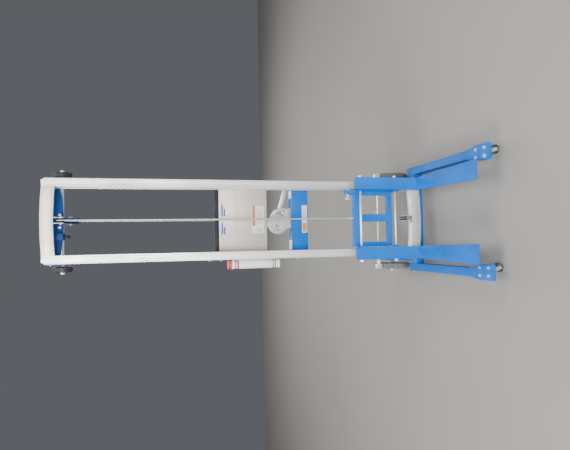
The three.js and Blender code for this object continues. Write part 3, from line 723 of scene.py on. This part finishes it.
# Wire rope: four runs, the drum's turns and the socket on the carriage.
rope = {
    "radius": 2.45,
    "lay": 32.0,
    "strands": 6,
    "valley": 0.13,
    "around": 18,  # points round the rope
    "travel": 1400.0,
    "turns": 4.4,
    "drumRadius": 22.8,
    "windFrom": 146,  # y of the first turn; each turn lies "windPitch" nearer to the front
    "windPitch": 5.1,
}


# Half a turn round a level pin at radius r: y runs -r cos t, z runs up times r sin t.
def halfTurn(centre, r, up, steps=26):
    t = np.linspace(0, np.pi, steps)
    return np.stack([centre[0] + 0 * t, centre[1] - r * np.cos(t), centre[2] + up * r * np.sin(t)], 1)


def makeRope(p):
    head, foot, crown = (extent(n + "_sheave")[2] for n in ("head", "foot", "crown"))
    x, drum = head[0], extent("winch_drum")[2]
    reach = {n: sheaves[n][0] for n in sheaves}
    fall = (x, head[1] + reach["head"], drum[2] - 6)
    rise = np.vstack([[fall], halfTurn(head, reach["head"], 1)[::-1]])
    ropeRun("rope_winch_run", rise, p, "base", ("cable_winch_run",))
    y, top = head[1] - reach["head"], head[2] - 0.2
    low = foot[2] + 0.2
    middle = ropeRun("rope_middle_run", [(x, y, low), (x, y, top)], p, "base", ("cable_middle_run",))
    anchor = (x / 1000, mastFront + y / 1000, top / 1000)
    1 - p["travel"] / (top - low)
    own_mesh(middle)
    loop = np.vstack([halfTurn(foot, reach["foot"], -1)[::-1], halfTurn(crown, reach["crown"], 1)[::-1]])
    ropeRun("rope_inner_run", loop, p, "moving_mast", ("cable_inner_run",))
    y, top, low = crown[1] - reach["crown"], crown[2] - 0.2, extent("cable_front_run")[0][2]
    front = ropeRun("rope_front_run", [(x, y, low), (x, y, top)], p, "moving_mast", ("cable_front_run",))
    anchor = (x / 1000, mastFront + y / 1000, top / 1000)
    1 - p["travel"] / (top - low)
    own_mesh(front)
    t = np.linspace(0, 2 * np.pi * p["turns"], 160)
    across, down = p["drumRadius"] * np.cos(t), p["drumRadius"] * np.sin(t)
    back = p["windFrom"] - p["windPitch"] * t / (2 * np.pi)
    wound = np.stack([drum[0] + across, back, drum[2] - down], 1)
    ropeRun("rope_on_drum", wound, p, "drum", (), (0, 1, 0))
    socket = [[0, 486.2], [5.5, 486.2], [5.5, 500], [4.2, 506], [4.2, 516], [3, 519], [0, 519]]
    turned("rope_socket", socket, (x, y, 0), "z", "steel", "carriage", sides=28)


makeRope(rope)
print("rope laid")

# Winch: pressed gear cover with raised rings, a boxed skirt, a thin black sheet as painted shade for the
# centre slot, bearing ring and nut.
winch = {
    "rings": (33.0, 39.0),
    "skirt": (-44.0, 11.0, 804.0, 858.0),
    "slot": (-9.0, 6.0, 7.0, 3.0),
    "bolts": ((-36, 806), (55, 812), (54, 870)),
    "grip": (13.2, 1.6, 0.7, 6),  # radius, belly, depth and number of the finger rolls
}


def makeWinch(p):
    cover, shaft = extent("winch_gear_cover")[2], extent("winch_pinion_shaft")[2]
    x, z = cover[0], cover[2]
    a, b = p["rings"]
    face = [
        [0, 105.4], [12, 105.4], [14, 103.9], [17, 103.9], [19, 105.8], [a - 3, 105.8], [a, 102.6],
        [b - 3, 102.6], [b, 106.6],
    ]
    rim = [
        [47, 106.6], [50, 103.2], [53, 103.4], [55.6, 106.0], [56, 109.7], [6.6, 109.7], [6.6, 108.8],
        [0, 108.8],
    ]
    cover = face + rim
    turned("gear_cover_pressing", cover, (x, 0, z), "y", "zinc", "base", ("winch_gear_cover",), sides=72)
    x0, x1, z0, z1 = p["skirt"]
    skirt = [(x0, z0), (x1, z0), (x1, z1), (x0, z1)]
    pushed("gear_cover_skirt", skirt, "y", 103.2, 109.6, "zinc", "base", bevel=2.4)
    # The slot is a thin black sheet on the cover face: painted shade where the slot would be dark.
    dx, dz, w, h = p["slot"]
    t = np.linspace(0, 2 * np.pi, 20, endpoint=False)
    slot = np.stack([x + dx + w * np.cos(t), z + dz + h * np.sin(t)], 1)
    pushed("gear_cover_slot_shade", slot, "y", 103.4, 105.2, "black", "base")
    ring("pinion_bush", 10.4, 8.4, 107.6, 109.9, (shaft[0], 0, shaft[2]), "y", "black", "base")
    small, large = hexPoints(shaft[0], shaft[2], 6.4), hexPoints(shaft[0], shaft[2], 9, 0.2)
    pushed("pinion_nut", small, "y", 103.4, 105.9, "steel", "crank", bevel=0.5)
    for k, (u, v) in enumerate(p["bolts"]):
        bolt(f"winch_bolt_{k}", (u, 109.9, v), "y", -1, 3.6, 3.2, "base")
    end = extent("crank_grip")
    run = np.linspace(0, 1, 49)
    radius, belly, depth, rolls = p["grip"]
    swell = radius + belly * np.sin(np.pi * run) + depth * np.cos(2 * np.pi * rolls * run)
    swell *= np.clip(np.minimum(run, 1 - run) * 14 + 0.72, 0, 1)
    y = end[0][1] + run * (end[1][1] - end[0][1])
    grip = [[6.4, y[0]]] + np.stack([swell, y], 1).tolist() + [[6.4, y[-1]], [6.4, y[0]]]
    along = (end[2][0], 0, end[2][2])
    turned("grip_moulding", grip, along, "y", "black", "grip", ("crank_grip",), sides=40)
    pushed("crank_nut", large, "y", 212.2, 219, "steel", "crank", bevel=0.6)


# Document tube, its red cap with a knurled rim, the strip on the column and three wire loops.
papers = {
    "radius": 22.0,
    "capRadius": 24.2,
    "knurls": 30,
    "loops": (904.0, 916.0, 1114.0),
    "wire": 2.0,
    "stripe": (1096, 1105),
    "strip": (-206.5, -200.9, 900, 1124),  # low and high x, low and high z
}


def makeDocumentTube(p):
    low, high, (x, y, _) = extent("document_tube")
    r, z0, z1 = p["radius"], low[2], high[2]
    body = [
        [0, z0], [r - 3, z0], [r - 0.8, z0 + 0.9], [r, z0 + 3.5], [r, z1], [r - 2, z1], [r - 2, z0 + 5],
        [0, z0 + 5],
    ]
    turned("document_tube_shell", body, (x, y, 0), "z", "white", "base", ("document_tube",), sides=56)
    low, high, _ = extent("document_tube_cap")
    c, z0, z1 = p["capRadius"], low[2], high[2]
    cap = [
        [0, z0], [c - 0.6, z0], [c, z0 + 0.8], [c, z0 + 3], [c - 0.5, z0 + 4], [c - 0.5, z1 - 4],
        [c, z1 - 3.4], [c - 0.8, z1 - 1], [c - 3.5, z1], [c - 8, z1 - 0.6], [0, z1 - 0.6],
    ]

    # the radius between the two rims rises and falls p["knurls"] times round the cap
    def knurl(t, radius, along):
        band = (radius > c - 0.7) & (along > z0 + 2.5) & (along < z1 - 2.5)
        return 1 - 0.02 * band * (0.5 + 0.5 * np.cos(p["knurls"] * t))

    lid = ("document_tube_cap",)
    turned("document_tube_lid", cap, (x, y, 0), "z", "red", "tube_cap", lid, sides=180, ripple=knurl)
    a, b = p["stripe"]
    stripe = [[r - 0.5, a], [r + 0.35, a], [r + 0.35, b], [r - 0.5, b], [r - 0.5, a]]
    turned("document_tube_stripe", stripe, (x, y, 0), "z", "red", "base", sides=56)
    x0, x1, low, high = p["strip"]
    edges = [(x0, y - 8), (x1, y - 8), (x1, y + 8), (x0, y + 8)]
    holder = ("document_tube_holder",)
    pushed("document_tube_strip", edges, "z", low, high, "zinc", "base", holder, bevel=0.6)
    t = np.linspace(0, 2 * np.pi, 12, endpoint=False)
    for k, z in enumerate(p["loops"]):
        wire = np.stack([r + 0.4 + p["wire"] * (1 + np.cos(t)), z + p["wire"] * np.sin(t)], 1)
        wire = np.vstack([wire, wire[:1]])
        turned(f"document_tube_loop_{k}", wire, (x, y, 0), "z", "black", "base", sides=56)


makeWinch(winch)
makeDocumentTube(papers)
print("winch and document tube made")

# Plain notices without words: colour bands, bars in place of writing, and a maker's place filled by bars.
notices = {
    "plateNotice": {
        "span": (-66.0, 77.0, 953.0, 1017.0),
        "front": 99.7,
        "band": ("red", -29.0, 77.0, 1000.0, 1014.0),
        "text": (-23.0, 71.0, 958.0, 997.0),
        "sign": (-58.0, -42.0, 963.0, 987.0),
    },
    "beamNotice": {
        "span": (-68.0, 80.0, 713.0, 742.0),
        "front": 100.4,
        "band": ("orange", -63.0, -14.0, 716.0, 739.0),
        "text": (-8.0, 74.0, 718.0, 738.0),
    },
}
noticeColours = {"red": (0.70, 0.10, 0.09), "orange": (0.86, 0.24, 0.02), "ink": (0.05, 0.05, 0.055)}
marks = {
    "bars": (  # low and high x, low and high z
        (-72, -10, 1169.5, 1178.5), (-72, -34, 1157, 1166),
        (22, 84, 1169.5, 1178.5), (22, 62, 1157, 1166),
    ),
    "barFaces": (99.8, 100.2),
    "pads": ((-158, -107, 104, 152), (118, 160, 104, 152)),  # low and high x, low and high y
    "padHeight": 3,
}


# White film with one colour band; grey bars lie on rows of z, broken at uneven places along x.
def noticeLook(name, p):
    look = Look(name, Roughness=0.35)
    colour, b0, b1, b2, b3 = p["band"]
    x, z = look.x * 1000.0, look.z * 1000.0
    band = inside(x, b0, b1) * inside(z, b2, b3)
    fromLow = z - p["span"][2]
    rows = fromLow.do("MODULO", fromLow, 6.5)
    breaks = look.band(look.noise((55, 1, 190), 1), 0.42, 0.46)
    t0, t1, t2, t3 = p["text"]
    bars = inside(rows, 2.2, 4.6) * inside(x, t0, t1) * inside(z, t2, t3) * breaks
    stain = look.band(look.noise((40, 40, 40), 4), 0.4, 0.75)
    base = look.mix(stain, (0.86, 0.86, 0.84), (0.74, 0.73, 0.70))
    base = look.mix(band, base, noticeColours[colour])
    base = look.mix(bars * 0.75, base, noticeColours["ink"])
    if "sign" in p:
        s0, s1, s2, s3 = p["sign"]
        blocks = look.band(look.noise((160, 1, 160), 1), 0.48, 0.52)
        blocks = inside(x, s0, s1) * inside(z, s2, s3) * blocks
        base = look.mix(blocks, base, noticeColours["ink"])
    look.set("Base Color", base)
    look.bump(look.noise((300, 300, 300), 2), 0.08, 0.0003)
    return look.material


# Rectangle with corners of radius r, as points round its outline.
def roundedBox(x0, x1, z0, z1, r):
    t = np.linspace(0, np.pi / 2, 6)
    corners = ((x1 - r, z1 - r, 0), (x0 + r, z1 - r, 1), (x0 + r, z0 + r, 2), (x1 - r, z0 + r, 3))
    arcs = [(x + r * np.cos(t + q * np.pi / 2), z + r * np.sin(t + q * np.pi / 2)) for x, z, q in corners]
    return np.hstack(arcs).T


def makeNotices(m):
    for name, p in notices.items():
        looks[name] = noticeLook(name, p)
        back = p["front"] + 0.5
        pushed(name, roundedBox(*p["span"], 2.0), "y", p["front"], back, name, "base")
    for k, b in enumerate(m["bars"]):
        pushed(f"maker_bar_{k}", roundedBox(*b, 3.4), "y", *m["barFaces"], "blue", "base")
    top = extent("winch_beam")[1][2]
    for k, (x0, x1, y0, y1) in enumerate(m["pads"]):
        pad = [(x0, y0), (x1, y0), (x1, y1), (x0, y1)]
        pushed(f"beam_pad_{k}", pad, "z", top, top + m["padHeight"], "white", "base", bevel=1.2)


makeNotices(marks)


# Bolts and screws, by the piece that they hold: where each one stands and its size.
fixings = {
    "shoe": ((-18, -572), (18, -572), (-18, -512), (18, -512)),  # x from the shoe's middle, y
    "shoeMiddle": 266,
    "wings": {
        "winch_beam": ((72, 728), (72, 776)),
        "cover_tie": ((72, 1186), (72, 1244)),
        "load": ((70, 1934), (70, 1988)),
    },
    "screws": ((180, 1994, 2.6), (181, 1961, 2.6), (167, 2004, 1.8), (167, 1995, 1.8), (167, 1987, 1.8)),
    "tie": ((-27, 1954), (33, 1954)),
    "collar": (118, -26, 524),
    # radius and height of each head
    "sizes": {
        "shoe": (7.2, 5.4), "wing": (5.5, 4.2), "tie": (5.5, 4.4), "headNut": (8, 7), "collar": (7.5, 9.9),
    },
}


def makeBolts(p):
    sizes = p["sizes"]
    for side, sign in leftRight:
        for k, (dx, y) in enumerate(p["shoe"]):
            place = (sign * p["shoeMiddle"] + dx, y, 90.5)
            bolt(f"{side}_shoe_bolt_{k}", place, "z", 1, *sizes["shoe"], "base")
        for name, places in p["wings"].items():
            face = 206.0 if name == "load" else 204.5
            for k, (y, z) in enumerate(places):
                bolt(f"{side}_{name}_bolt_{k}", (sign * face, y, z), "x", sign, *sizes["wing"], "base")
        for k, (x, z, r) in enumerate(p["screws"]):
            dome = [[0, -1.1], [r * 0.6, -0.9], [r, -0.1], [r, 0.2], [0, 0.2]]
            turned(f"{side}_mast_screw_{k}", dome, (sign * x, 0, z), "y", "zinc", "moving_mast", sides=20)
    for k, (x, z) in enumerate(p["tie"]):
        bolt(f"head_tie_bolt_{k}", (x, 100.2, z), "y", -1, *sizes["tie"], "base")
    head = extent("head_sheave")[2]
    for way in (-1, 1):
        place = (head[0] + way * 14.1, head[1], head[2])
        bolt(f"head_pin_nut_{way + 1}", place, "x", way, *sizes["headNut"], "base")
    bolt("lock_pin_collar", p["collar"], "x", 1, *sizes["collar"], "carriage")


makeBolts(fixings)
print("notices and bolts made")


# Floor, air and lamps: each lamp's place, what it faces, its size and its power.
stage = {
    "floorHalf": 5.0,
    "floorColours": ((0.29, 0.276, 0.255), (0.35, 0.334, 0.31)),
    "air": (0.125, 0.132, 0.145, 1),
    "airStrength": 0.9,
}
lamps = {
    "front": ((-0.6, -4.4, 2.2), (0, 0, 1.15), 2.2, 290),
    "left": ((-3.0, -1.6, 2.6), (0, 0, 1.0), 1.6, 95),
    "right": ((3.2, -1.2, 2.2), (0, 0, 1.0), 1.6, 50),
    "back": ((0.6, 3.4, 3.0), (0, 0.2, 1.0), 2.6, 100),
    "top": ((0, -0.4, 4.4), (0, 0, 0.5), 2.4, 70),
}


def makeStage(p):
    mesh = bpy.data.meshes.new("floor")
    half = p["floorHalf"]
    corners = [(-half, -half, 0), (half, -half, 0), (half, half, 0), (-half, half, 0)]
    mesh.from_pydata(corners, [], [(0, 1, 2, 3)])
    floor = bpy.data.objects.new("floor", mesh)
    bpy.context.scene.collection.objects.link(floor)
    ground = Look("floorLook", Roughness=0.85)
    ground.set("Base Color", ground.mix(ground.noise((0.8, 0.8, 0.8), 3), *p["floorColours"]))
    mesh.materials.append(ground.material)
    world = bpy.data.worlds.new("room")
    world.use_nodes = True
    background = world.node_tree.nodes["Background"]
    background.inputs[0].default_value, background.inputs[1].default_value = p["air"], p["airStrength"]
    bpy.context.scene.world = world
    for name, (place, aim, size, power) in lamps.items():
        data = bpy.data.lights.new(name, "AREA")
        data.size, data.energy = size, power
        lamp = bpy.data.objects.new(name, data)
        lamp.location = place
        lamp.rotation_euler = (Vector(aim) - Vector(place)).to_track_quat("-Z", "Y").to_euler()
        bpy.context.scene.collection.objects.link(lamp)


makeStage(stage)
bpy.context.view_layer.update()
print("scene ready")
